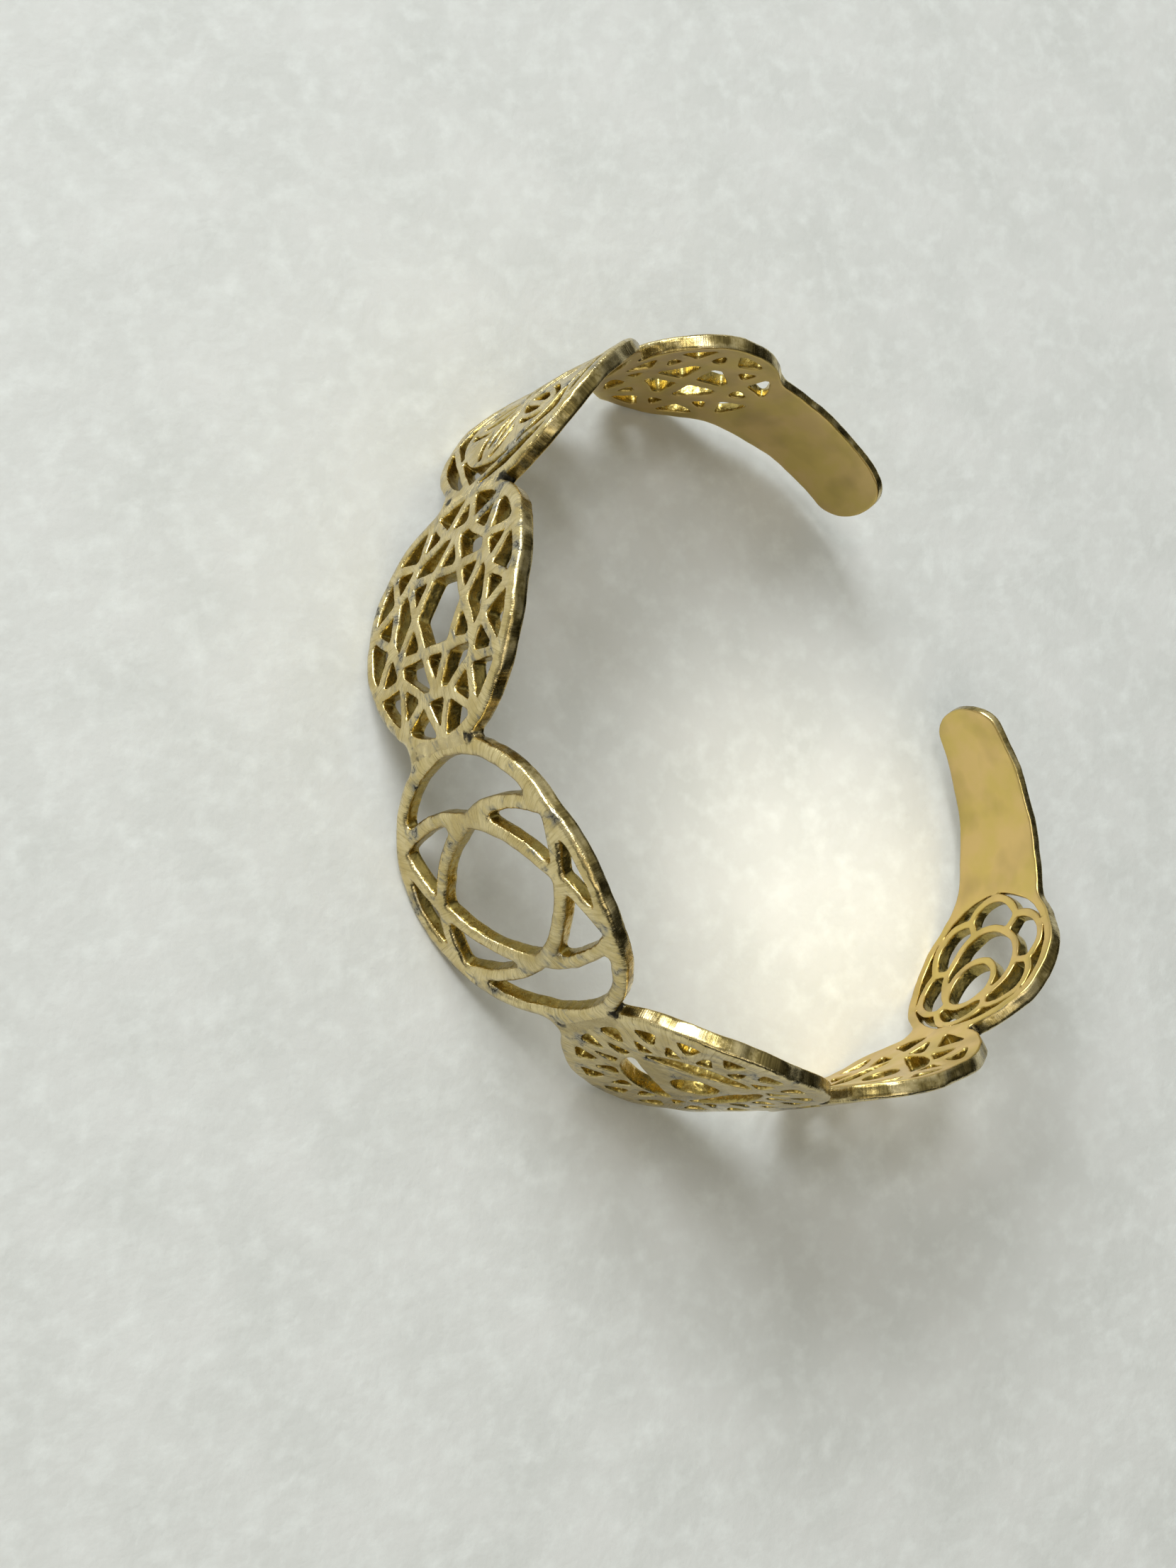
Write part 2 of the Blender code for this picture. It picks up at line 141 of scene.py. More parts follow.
def line(start, end):
    """Keeps what lies to the left of the line from start to end."""
    way = (end - start) / abs(end - start)
    return ("line", start, way)


def disc(centre, radius):
    """Keeps the inside of a circle."""
    return ("disc", centre, radius)


def off(centre, radius):
    """Keeps the outside of a circle."""
    return ("off", centre, radius)


def room(edge, point):
    """How far a point lies on the kept side of an edge."""
    kind, origin, size = edge
    if kind == "line":
        return (size.conjugate() * (point - origin)).imag
    reach = abs(point - origin)
    return size - reach if kind == "disc" else reach - size


def facet_angle(radius, rise):
    """Angle of one facet of a circle in radians, so that the facet keeps within rise of the circle."""
    return 2 * math.acos(1 - rise / radius)


def arc(centre, start, end, turn, rise):
    """Points on the circle after start and before end; turn is 1 for leftwards and -1 for rightwards."""
    sweep = (cmath.phase((end - centre) / (start - centre)) * turn) % (2 * math.pi)
    count = max(1, round(sweep / facet_angle(abs(start - centre), rise)))
    return [centre + (start - centre) * cmath.exp(1j * turn * sweep * k / count) for k in range(1, count)]


def crossing(edge, inset, kept, lost):
    """Where the way from a kept point to a lost one crosses an edge that is moved inwards by inset."""
    for _ in range(HALVINGS):
        middle = (kept + lost) / 2
        if room(edge, middle) >= inset:
            kept = middle
        else:
            lost = middle
    return kept


def trim(outline, edge, inset):
    """Cuts an outline back to the kept side of an edge that is first moved inwards by inset."""
    keeps = [room(edge, point) >= inset for point in outline]
    if all(keeps) or not any(keeps):
        return outline if all(keeps) else []
    count = len(outline)
    first = next(k for k in range(count) if keeps[k] and not keeps[k - 1])
    order = [(first + k) % count for k in range(count)]
    run = list(itertools.takewhile(lambda k: keeps[k], order))
    kept = [outline[k] for k in run]
    enter = crossing(edge, inset, outline[first], outline[first - 1])
    leave = crossing(edge, inset, kept[-1], outline[(run[-1] + 1) % count])
    kind, centre, _ = edge
    turns = {"disc": 1, "off": -1}
    bent = arc(centre, leave, enter, turns[kind], OPENING_RISE) if kind in turns else []
    return [enter] + kept + [leave] + bent


def soften(outline, radius):
    """Rounds the corners of an outline as casting does."""
    outline = [p for k, p in enumerate(outline) if abs(p - outline[k - 1]) > CLOSE]
    count = len(outline)
    places = [0.0]
    for k in range(count):
        places.append(places[-1] + abs(outline[(k + 1) % count] - outline[k]))
    length = places[-1]

    def at(place):
        place %= length
        k = max(j for j in range(count) if places[j] <= place)
        share = (place - places[k]) / (places[k + 1] - places[k])
        return outline[k] + (outline[(k + 1) % count] - outline[k]) * share

    turns = [abs(cmath.phase((outline[(k + 1) % count] - outline[k]) / (outline[k] - outline[k - 1])))
             for k in range(count)]
    sharp = [k for k in range(count) if turns[k] > SHARP]
    if len(sharp) < 2:
        return outline
    sides = [(places[sharp[(j + 1) % len(sharp)]] - places[k]) % length for j, k in enumerate(sharp)]
    backs = [min(radius * math.tan(min(turns[k], WIDEST) / 2), SOFT_SHARE * min(sides[j], sides[j - 1]))
             for j, k in enumerate(sharp)]
    rounded = []
    for j, k in enumerate(sharp):
        start, end = at(places[k] - backs[j]), at(places[k] + backs[j])
        for step in range(CORNER_STEPS + 1):
            t = step / CORNER_STEPS
            rounded.append((1 - t) ** 2 * start + 2 * t * (1 - t) * outline[k] + t ** 2 * end)
        low, high = backs[j] + CLOSE, sides[j] - backs[(j + 1) % len(sharp)] - CLOSE
        for after in range(k + 1, k + count):
            gone = (places[after % count] - places[k]) % length
            if low < gone < high:
                rounded.append(outline[after % count])
    return rounded


def opening(edges, bar):
    """One opening: the space inside all its edges, half a bar's width back from each."""
    far = 1.0
    outline = [complex(-far, -far), complex(far, -far), complex(far, far), complex(-far, far)]
    for kind, centre, size in edges:
        if kind == "disc":
            sides = round(2 * math.pi / facet_angle(size, OPENING_RISE))
            outline = [centre + cmath.rect(size - bar / 2, 2 * math.pi * k / sides) for k in range(sides)]
            break
    for edge in edges:
        outline = trim(outline, edge, bar / 2 - SLACK) if outline else []
    return outline


def between(corners):
    """Edges of the straight-sided space whose corners are given leftwards round."""
    return [line(corners[k], corners[(k + 1) % len(corners)]) for k in range(len(corners))]


def wedge(turn, spread):
    """Edges of a wedge from the middle towards turn."""
    return [line(0, polar(1, turn - spread / 2)), line(polar(1, turn + spread / 2), 0)]


def under_rim(rim, foot, before, after):
    """Edges of the opening that the rim closes between the bars from foot to before and to after."""
    return [rim, line(foot, before), line(after, foot)]


def star_lattice(radius, rim):
    """A six-pointed star in a twelve-sided ring, with twelve points that reach the rim."""
    heart, star, ring, reach = radius * 0.33, radius * 0.59, radius * 0.625, radius * 0.93
    cells = [between([polar(heart, 30 + 60 * k) for k in range(6)])]
    for k in range(6):
        turn = 60 * k
        cells.append(between([polar(heart, turn - 30), polar(star, turn), polar(heart, turn + 30)]))
        cells.append(between([polar(heart, turn + 30), polar(star, turn), polar(ring, turn + 15),
                              polar(ring, turn + 45), polar(star, turn + 60)]))
    for k in range(12):
        turn = 30 * k
        before, after = polar(ring, turn - 15), polar(ring, turn + 15)
        cells.append(between([before, polar(reach, turn), after]))
        cells.append(under_rim(rim, after, polar(reach, turn), polar(reach, turn + 30)))
    return cells


def crossed_ovals(radius, rim):
    """Two pointed ovals that cross, leaning apart, and meet the rim at their tips."""
    lean, tip, half = 27, radius * 0.94, radius * 0.46
    sweep = (tip ** 2 + half ** 2) / (2 * half)
    aside = sweep - half
    left_a, right_a = disc(polar(aside, lean), sweep), disc(polar(aside, 180 + lean), sweep)
    left_b, right_b = disc(polar(aside, -lean), sweep), disc(polar(aside, 180 - lean), sweep)

    def outside(edge):
        return off(edge[1], edge[2])

    cells = [[left_a, right_a, left_b, right_b]]
    sides = ((1, outside(right_a), outside(left_b)), (-1, outside(left_a), outside(right_b)))
    for side, past_a, past_b in sides:
        far = line(-side, side)
        cells.append([rim, far, left_a, right_a, past_b])
        cells.append([rim, far, left_b, right_b, past_a])
        cells.append([rim, far, past_a, past_b])
    cells.append([rim, outside(left_a), outside(left_b)])
    cells.append([rim, outside(right_a), outside(right_b)])
    return cells


def three_slots(radius, ring, turned):
    """A middle hole, a little to one side, and three long slots round it inside a ring."""
    hole_out, hole, slot_out = 0.05, 0.205, 0.27
    cells = [[disc(polar(radius * hole_out, turned + 135), radius * hole)]]
    for k in range(3):
        way = polar(1, turned + 120 * k)
        near = way * radius * slot_out
        cells.append([disc(0, ring), line(near + 1j * way, near - 1j * way)])
    return cells


def drop_rings(radius, rim, count, turned):
    """Two rings of small drops round three long slots."""
    ring, crest, foot = radius * 0.54, radius * 0.86, radius * 0.62
    pitch = 360 / count
    cells = three_slots(radius, ring, turned)
    for k in range(count):
        turn = turned + pitch * k
        before, after = polar(ring, turn - pitch / 2), polar(ring, turn + pitch / 2)
        cells.append(between([polar(crest, turn), after, before]))
        ends = polar(radius, turn), polar(radius, turn + pitch)
        cells.append(under_rim(rim, polar(foot, turn + pitch / 2), *ends))
    return cells


def flower(radius, rim, turned):
    """Six petals and six leaves round an offset ring."""
    eye, eye_ring = polar(radius * 0.24, turned - 12), radius * 0.32
    heart, heart_ring = polar(radius * 0.02, turned), radius * 0.50
    lobe_out, lobe = radius * 0.47, radius * 0.37
    cells = [[disc(eye, eye_ring)], [disc(heart, heart_ring), off(eye, eye_ring)]]
    for k in range(6):
        turn = turned + 60 * k
        here, after = polar(lobe_out, turn), polar(lobe_out, turn + 60)
        petal = [disc(here, lobe)] + wedge(turn, 60) + [off(heart, heart_ring)]
        cells.append(petal + [off(eye, eye_ring)] if k == 0 else petal)
        cells.append([rim, line(0, here), line(after, 0), off(here, lobe), off(after, lobe)])
    return cells


def nested_leaves(radius, rim, count, turned):
    """Slots along the rim, leaves in a straight-sided figure's corners, and nested petals in a ring."""
    corner, ring, border = radius * 0.93, radius * 0.66, radius * 0.11
    sweep, aside = radius * 0.49, radius * 0.235
    pitch = 360 / count
    cells = []
    for k in range(count):
        turn = turned + pitch * k
        before, here, after = [polar(corner, turn + pitch * step) for step in (-1, 0, 1)]
        cells.append([rim, line(after, here)])
        cells.append([line(here, after), line(before, here)] + wedge(turn, pitch) + [off(0, ring)])
        side, petal_middle = polar(aside, turn + 90), polar(ring / 2, turn)
        for centre, half in ((petal_middle + side, line(here, 0)), (petal_middle - side, line(0, here))):
            outer_leaf = [disc(0, ring), disc(centre, sweep), off(centre, sweep - border), half]
            inner_leaf = [disc(0, ring - border), disc(centre, sweep - border), half]
            cells.append(outer_leaf + wedge(turn, pitch))
            cells.append(inner_leaf + wedge(turn, pitch))
    return cells


def petal_star(radius, rim, count, turned):
    """A ring of rim openings over a star of points, and a middle opening with two crossing bars."""
    foot, reach, eye = radius * 0.55, radius * 0.95, radius * 0.52
    pitch = 360 / count
    middle = between([polar(eye, turned + pitch * (k + 0.5)) for k in range(count)])
    cells = [middle + wedge(turned + 45 + 90 * k, 90) for k in range(4)]
    for k in range(count):
        turn = turned + pitch * k
        before, after = polar(foot, turn - pitch / 2), polar(foot, turn + pitch / 2)
        cells.append(between([before, polar(reach, turn), after]))
        cells.append(under_rim(rim, after, polar(reach, turn), polar(reach, turn + pitch)))
    return cells


def patterns(rims):
    """For each medallion, its openings as the edges that bound them, inside the given discs."""
    return [
        petal_star(RADII[0], rims[0], count=8, turned=4),
        nested_leaves(RADII[1], rims[1], count=5, turned=44),
        star_lattice(RADII[2], rims[2]),
        crossed_ovals(RADII[3], rims[3]),
        drop_rings(RADII[4], rims[4], count=16, turned=63),
        drop_rings(RADII[5], rims[5], count=9, turned=20),
        flower(RADII[6], rims[6], turned=2),
    ]


def medallion_places():
    """Where each medallion's middle lies along the band, with the middle one at 0."""
    places = [0.0] + [-total for total in itertools.accumulate(PITCHES)]
    return [place - places[MIDDLE] for place in places]


def medallion_centres():
    """The medallions' centres as flat points."""
    return [complex(place, lift) for place, lift in zip(medallion_places(), LIFTS)]


def neck_places():
    """Where the necks between the medallions lie along the band."""
    places = medallion_places()
    return [place + (after - place) * radius / (radius + next_radius)
            for place, after, radius, next_radius in zip(places, places[1:], RADII, RADII[1:])]


def band_ends():
    """Where the tips of the last and the first tab lie along the band."""
    places = medallion_places()
    return places[-1] - RADII[-1] - TAB_LENGTHS[1], places[0] + RADII[0] + TAB_LENGTHS[0]


def tab_edge(edge, radius, length):
    """Long edge of a tab beyond a medallion at 0, drawn above the middle line, up to the tip's rounding."""
    root, tip, hollow = edge
    start, end = complex(radius, root), complex(radius + length - TIP_ROUND, tip)
    way = (end - start) / abs(end - start)
    offset = start + 1j * way * hollow
    along = (way.conjugate() * offset).real
    reach = -along + math.sqrt(along * along - abs(offset) ** 2 + (radius + hollow) ** 2)
    centre = offset + way * reach
    touch_disc, touch_tab = centre * radius / abs(centre), centre - 1j * way * hollow
    return [touch_disc] + arc(centre, touch_disc, touch_tab, 1, RIM_RISE) + [touch_tab, end]


def tab_tip(upper_end, lower_end, out):
    """Rounded tip between the ends of a tab's long edges; out is 1 for a tip towards +u and -1 for -u."""
    middle, half = (upper_end + lower_end) / 2, (upper_end - lower_end).imag / 2
    steps = 2 * TIP_STEPS
    turns = [math.pi * (k / steps - 0.5) for k in range(1, steps)]
    return [middle + out * complex(TIP_ROUND * math.cos(turn), half * math.sin(turn)) for turn in turns]


def long_edge(centres, first_tab, last_tab, hollow):
    """Long edge of the flat band, drawn above the middle line, from the first tab to the last one."""
    first = tab_edge(first_tab, RADII[0], TAB_LENGTHS[0])
    last = tab_edge(last_tab, RADII[-1], TAB_LENGTHS[1])
    points = [centres[0] + point for point in reversed(first)]
    for here, radius, after, next_radius in zip(centres, RADII, centres[1:], RADII[1:]):
        gap, reach, next_reach = abs(after - here), radius + hollow, next_radius + hollow
        along = (gap ** 2 + reach ** 2 - next_reach ** 2) / (2 * gap)
        middle = here + (after - here) / gap * complex(along, -math.sqrt(reach ** 2 - along ** 2))
        leave = here + (middle - here) * radius / reach
        enter = after + (middle - after) * next_radius / next_reach
        points += arc(here, points[-1], leave, 1, RIM_RISE) + [leave]
        points += arc(middle, leave, enter, -1, RIM_RISE) + [enter]
    last = [centres[-1] - point.conjugate() for point in last]
    return points + arc(centres[-1], points[-1], last[0], 1, RIM_RISE) + last


def band_outline():
    """Outline of the flat band, leftwards round from the upper end of the first tab's tip."""
    centres = medallion_centres()
    mirrored = [centre.conjugate() for centre in centres]
    upper = long_edge(centres, FIRST_TAB_UPPER, LAST_TAB_UPPER, UPPER_NECK_HOLLOW)
    lower = long_edge(mirrored, FIRST_TAB_LOWER, LAST_TAB_LOWER, LOWER_NECK_HOLLOW)
    lower = [point.conjugate() for point in reversed(lower)]
    return upper + tab_tip(upper[-1], lower[0], -1) + lower + tab_tip(upper[0], lower[-1], 1)


def band_openings():
    """Outlines of all the openings in the flat band."""
    rims = [disc(0, radius - rim + bar / 2) for radius, rim, bar in zip(RADII, RIMS, BARS)]
    outlines = []
    for centre, bar, corner, pattern in zip(medallion_centres(), BARS, CORNERS, patterns(rims)):
        for edges in pattern:
            outline = opening(edges, bar)
            if len(outline) > 2:
                outlines.append([centre + point for point in soften(outline, corner)])
    return outlines


def wall_at(u):
    """Thickness of the wall along the band: it thins over the outer halves of the end medallions."""
    places = medallion_places()
    knots = [places[-1] - RADII[-1], places[-1], places[0], places[0] + RADII[0]]
    return float(np.interp(u, knots, [TAB_WALL, WALL, WALL, TAB_WALL]))


def band_curve():
    """Middle line of the wall seen from above: place along the band, x, y and heading in radians."""
    low_end, high_end = band_ends()
    knots = sorted([(low_end, TAB_BENDS[1]), (high_end, TAB_BENDS[0]),
                    *zip(medallion_places(), BENDS), *zip(neck_places(), NECK_BENDS)])
    u = np.arange(low_end - CURVE_MARGIN, high_end + CURVE_MARGIN, CURVE_STEP)
    curvature = np.interp(u, [k[0] for k in knots], [1 / k[1] for k in knots])
    turned = np.concatenate([[0], np.cumsum((curvature[1:] + curvature[:-1]) / 2) * CURVE_STEP])
    heading = math.radians(MIDDLE_HEADING) - turned + np.interp(0, u, turned)
    x = np.concatenate([[0], np.cumsum(np.cos((heading[1:] + heading[:-1]) / 2)) * CURVE_STEP])
    y = np.concatenate([[0], np.cumsum(np.sin((heading[1:] + heading[:-1]) / 2)) * CURVE_STEP])
    return u, x - np.interp(0, u, x), y - np.interp(0, u, y), heading


def bend(flat, heights):
    """Places of flat points at heights from the middle of the wall, once the band is bent."""
    u, x, y, heading = band_curve()
    way = np.interp(flat.real, u, heading)
    return np.stack([np.interp(flat.real, u, x) - heights * np.sin(way),
                     np.interp(flat.real, u, y) + heights * np.cos(way), flat.imag], axis=1)


def notches():
    """Flat points where the long edges of neighbouring medallions meet."""
    points = []
    for neck, place, radius in zip(neck_places(), medallion_places(), RADII):
        half = math.sqrt(radius ** 2 - (neck - place) ** 2) + NOTCH_OUT
        points += [complex(neck, half), complex(neck, -half)]
    return points


def round_medallions(flat):
    """For flat points, where they lie round a circle of the middle medallion's size, and how far out."""
    centres = np.array(medallion_centres())
    ways = flat[:, None] - centres
    nearest = np.argmin(np.abs(ways) - np.array(RADII), axis=1)
    way = ways[np.arange(len(flat)), nearest]
    reach = np.abs(way)
    turned = way / np.maximum(reach, SLACK) * RADII[MIDDLE]
    return np.stack([turned.real, turned.imag, reach], axis=1)


def of_medallion(u, values):
    """For places along the band, the value of the medallion there, blended across the necks."""
    knots = []
    for neck, value, next_value in zip(neck_places(), values, values[1:]):
        knots += [(neck + NECK_BLEND, value), (neck - NECK_BLEND, next_value)]
    knots.sort()
    return np.interp(u, [knot[0] for knot in knots], [knot[1] for knot in knots])


def rounded_drop(distance, reach):
    """How far a rounded edge lies below its face at a distance from the edge."""
    share = 1 - np.clip(distance / reach, 0, 1)
    return ROUND_DEPTH * reach * (1 - np.sqrt(1 - share ** 2))


def evenly_spaced(loop, pitch):
    """The points of a closed outline, spaced evenly along it."""
    points = np.array(loop + loop[:1])
    places = np.concatenate([[0], np.cumsum(np.abs(np.diff(points)))])
    count = max(FEWEST_POINTS, round(places[-1] / pitch))
    at = np.linspace(0, places[-1], count, endpoint=False)
    return np.interp(at, places, points.real) + 1j * np.interp(at, places, points.imag)


def swollen(points):
    """Flat points moved by the outlines' swells, and less so on the tabs."""
    total = np.zeros(len(points), complex)
    for size, reach in OUTLINE_SWELLS:
        moves = [noise.noise_vector(Vector((p.real / size, p.imag / size, 0))) for p in points]
        total += reach * np.array([complex(move.x, move.y) for move in moves])
    low, high = medallion_places()[-1] - RADII[-1], medallion_places()[0] + RADII[0]
    knots = [low - NECK_BLEND, low + NECK_BLEND, high - NECK_BLEND, high + NECK_BLEND]
    return points + total * np.interp(points.real, knots, [TAB_SWELL, 1, 1, TAB_SWELL])


def uneven(points):
    """Points of the casting moved by its coarse and fine swells."""
    moves = np.zeros_like(points)
    for size, reach in SURFACE_SWELLS:
        moves += reach * np.array([noise.noise_vector(Vector(p / size)) for p in points])
    return points + moves


def inner_ring(loop, distance):
    """The points at a distance to the right of a closed outline's points."""
    along = np.roll(loop, -1) - np.roll(loop, 1)
    return loop - 1j * along / np.abs(along) * distance


def boundary_tree(loops):
    """Search tree of finely spaced points on outlines."""
    samples = np.concatenate([evenly_spaced(list(loop), BOUNDARY_PITCH) for loop in loops])
    tree = kdtree.KDTree(len(samples))
    for k, sample in enumerate(samples):
        tree.insert(Vector((sample.real, sample.imag, 0)), k)
    tree.balance()
    return tree


def distances(tree, points):
    """How far each flat point lies from the nearest point of a search tree."""
    return np.array([tree.find(Vector((p.real, p.imag, 0)))[2] for p in points])


def face_points(outline, openings, rim_tree, opening_tree):
    """Flat points inside the pierced band: rings along its edges, and an even grid over the rest."""
    rings, gaps = [], []
    for loop, rounds in [(outline[::-1], RIM_ROUNDS)] + [(loop, OPENING_ROUNDS) for loop in openings]:
        reach = of_medallion(loop.real, rounds)
        rings += [inner_ring(loop, reach * share) for share in RINGS]
        gaps += [reach * share for share in RINGS]
    low, high, top = outline.real.min(), outline.real.max(), outline.imag.max()
    across, up = np.meshgrid(np.arange(low, high, FACE_PITCH), np.arange(-top, top, FACE_PITCH))
    grid = (across + 1j * up).ravel()
    inside = np.concatenate(rings + [grid])
    wanted = np.concatenate([np.concatenate(gaps) * RING_CLEAR, np.full(len(grid), FACE_PITCH / 2)])
    nearest = np.minimum(distances(rim_tree, inside), distances(opening_tree, inside))
    return inside[nearest > wanted]


def flat_face(outline, openings, inside):
    """Points and triangles of the pierced flat band, with the points inside it."""
    points, faces = [], []
    for loop in [outline] + openings:
        faces.append(list(range(len(points), len(points) + len(loop))))
        points += list(loop)
    points = [Vector((p.real, p.imag)) for p in points + list(inside)]
    points, _, triangles, _, _, sources = delaunay_2d_cdt(points, [], faces, 0, MERGE)
    kept = [tri for tri, source in zip(triangles, sources) if list(source) == [0]]
    used = sorted({k for tri in kept for k in tri})
    place = {k: j for j, k in enumerate(used)}
    flat = np.array([complex(points[k].x, points[k].y) for k in used])
    return flat, [tuple(place[k] for k in tri) for tri in kept]


def resting_turn(flat_rests, middle):
    """Turn that brings the three points that carry the cuff onto one level."""
    for a, b, c in itertools.combinations(flat_rests, 3):
        up = (b - a).cross(c - a).normalized()
        if up.z < 0:
            up = -up
        level = min((p - a).dot(up) for p in flat_rests)
        corners = [Vector((p.x, p.y)) for p in (a, b, c)]
        sides = [(corners[k] - corners[k - 1]).cross(Vector((middle.x, middle.y)) - corners[k - 1])
                 for k in range(3)]
        held = all(s > 0 for s in sides) or all(s < 0 for s in sides)
        if level > -SLACK and held:
            return up.rotation_difference(Vector((0, 0, 1)))
    return Quaternion()


def centre_of_mass(square, triangles, flat):
    """Middle of the casting's metal, as one upright prism of six corners for each flat triangle."""
    corners = np.array(triangles)
    sides = flat[corners[:, 1:]] - flat[corners[:, :1]]
    weights = (sides[:, 0].conjugate() * sides[:, 1]).imag
    middles = (square[corners].sum(axis=1) + square[corners + len(flat)].sum(axis=1)) / 6
    return (middles * weights[:, None]).sum(axis=0) / weights.sum()


def resting_places(points, square, triangles, flat):
    """The bent casting's points once it lies on its rims; square holds the points with unrounded edges."""
    low_end, high_end = band_ends()
    rests = [centre - 1j * radius for centre, radius in zip(medallion_centres(), RADII)]
    rests.append(complex(high_end - TIP_ROUND, -FIRST_TAB_LOWER[1]))
    rests.append(complex(low_end + TIP_ROUND, -LAST_TAB_LOWER[1]))
    rests = [Vector(p) for p in bend(np.array(rests), np.zeros(len(rests)))]
    middle = Vector(centre_of_mass(square, triangles, flat))
    turn = np.array(resting_turn(rests, middle).to_matrix())
    square, points = square @ turn.T, points @ turn.T
    low, high = square.min(axis=0), square.max(axis=0)
    points = points - np.array([(low[0] + high[0]) / 2, (low[1] + high[1]) / 2, low[2] + FOOT_FLAT])
    points[:, 2] = np.maximum(points[:, 2], 0)
    return points


def face_heights(flat, from_rim, from_opening):
    """Heights of both faces over the middle of the wall, outer and inner, first square and then rounded."""
    wall = np.array([wall_at(p.real) for p in flat])
    drop = np.maximum(rounded_drop(from_rim, of_medallion(flat.real, RIM_ROUNDS)),
                      rounded_drop(from_opening, of_medallion(flat.real, OPENING_ROUNDS)))
    rise = rounded_drop(np.minimum(from_rim, from_opening), np.full(len(flat), INNER_ROUND))
    outer, inner = wall - WALL / 2, np.full(len(flat), -WALL / 2)
    return outer, inner, outer - drop, inner + rise


def wall_points(flat, outer, inner, edge_points):
    """Flat points and heights of the whole casting: outer face, inner face, then the walls row by row."""
    places, heights = [flat, flat], [outer, inner]
    for row in range(1, WALL_ROWS + 1):
        share = row / (WALL_ROWS + 1)
        places.append(flat[edge_points])
        heights.append(outer[edge_points] * (1 - share) + inner[edge_points] * share)
    return np.concatenate(places), np.concatenate(heights)


def casting_faces(triangles, from_rim, from_opening):
    """The casting's faces, their materials, and the flat points that lie on rims and openings."""
    count = len(from_rim)
    faces = [(c, b, a) for a, b, c in triangles]
    faces += [(count + a, count + b, count + c) for a, b, c in triangles]
    slots = [FACE] * len(triangles) + [INNER] * len(triangles)
    sides = {(tri[k], tri[(k + 1) % 3]) for tri in triangles for k in range(3)}
    border = sorted((a, b) for a, b in sides if (b, a) not in sides)
    edge_points = sorted({k for side in border for k in side})
    place = {k: j for j, k in enumerate(edge_points)}

    def column(k):
        rows = [2 * count + row * len(edge_points) + place[k] for row in range(WALL_ROWS)]
        return [k] + rows + [count + k]

    for a, b in border:
        on_rim = max(from_rim[a], from_rim[b]) < min(from_opening[a], from_opening[b])
        left, right = column(a), column(b)
        for row in range(WALL_ROWS + 1):
            faces.append((left[row], right[row], right[row + 1], left[row + 1]))
            slots.append(RIM if on_rim else OPENING)
    return faces, slots, np.array(edge_points)


def add_measure(mesh, name, values):
    """Gives a mesh's points a length or a row of three lengths, which its materials read."""
    kind, field = ("FLOAT", "value") if values.ndim == 1 else ("FLOAT_VECTOR", "vector")
    measure = mesh.attributes.new(name, kind, "POINT")
    measure.data.foreach_set(field, (values * PER_METRE).astype(np.float32).ravel())


def build_casting(materials):
    """The whole cuff: outer face, inner face, walls of the openings and the band's rims."""
    noise.seed_set(SWELL_SEED)
    outline = swollen(evenly_spaced(band_outline(), RIM_PITCH))
    openings = [swollen(evenly_spaced(loop, OPENING_PITCH)) for loop in band_openings()]
    rim_tree, opening_tree = boundary_tree([outline]), boundary_tree(openings)
    inside = face_points(outline, openings, rim_tree, opening_tree)
    flat, triangles = flat_face(outline, openings, inside)
    from_rim, from_opening = distances(rim_tree, flat), distances(opening_tree, flat)
    top, bottom, outer, inner = face_heights(flat, from_rim, from_opening)
    faces, slots, edge_points = casting_faces(triangles, from_rim, from_opening)
    places, heights = wall_points(flat, outer, inner, edge_points)
    square = bend(np.concatenate([flat, flat]), np.concatenate([top, bottom]))
    points = resting_places(uneven(bend(places, heights)), square, triangles, flat)
    mesh = bpy.data.meshes.new("pierced_casting")
    mesh.from_pydata([tuple(p) for p in points], [], faces)
    mesh.polygons.foreach_set("use_smooth", [True] * len(faces))
    for material in materials:
        mesh.materials.append(material)
    mesh.polygons.foreach_set("material_index", slots)
    nearest, walls = np.minimum(from_rim, from_opening), np.zeros(len(points) - 2 * len(flat))
    add_measure(mesh, "band", np.stack([places.real, places.imag, heights], axis=1))
    add_measure(mesh, "edge", np.concatenate([nearest, nearest, walls]))
    add_measure(mesh, "around", round_medallions(places))
    add_measure(mesh, "notch", np.abs(places[:, None] - np.array(notches())).min(axis=1))
    mesh.update()
    casting = bpy.data.objects.new("pierced_casting", mesh)
    bpy.context.scene.collection.objects.link(casting)
    return casting


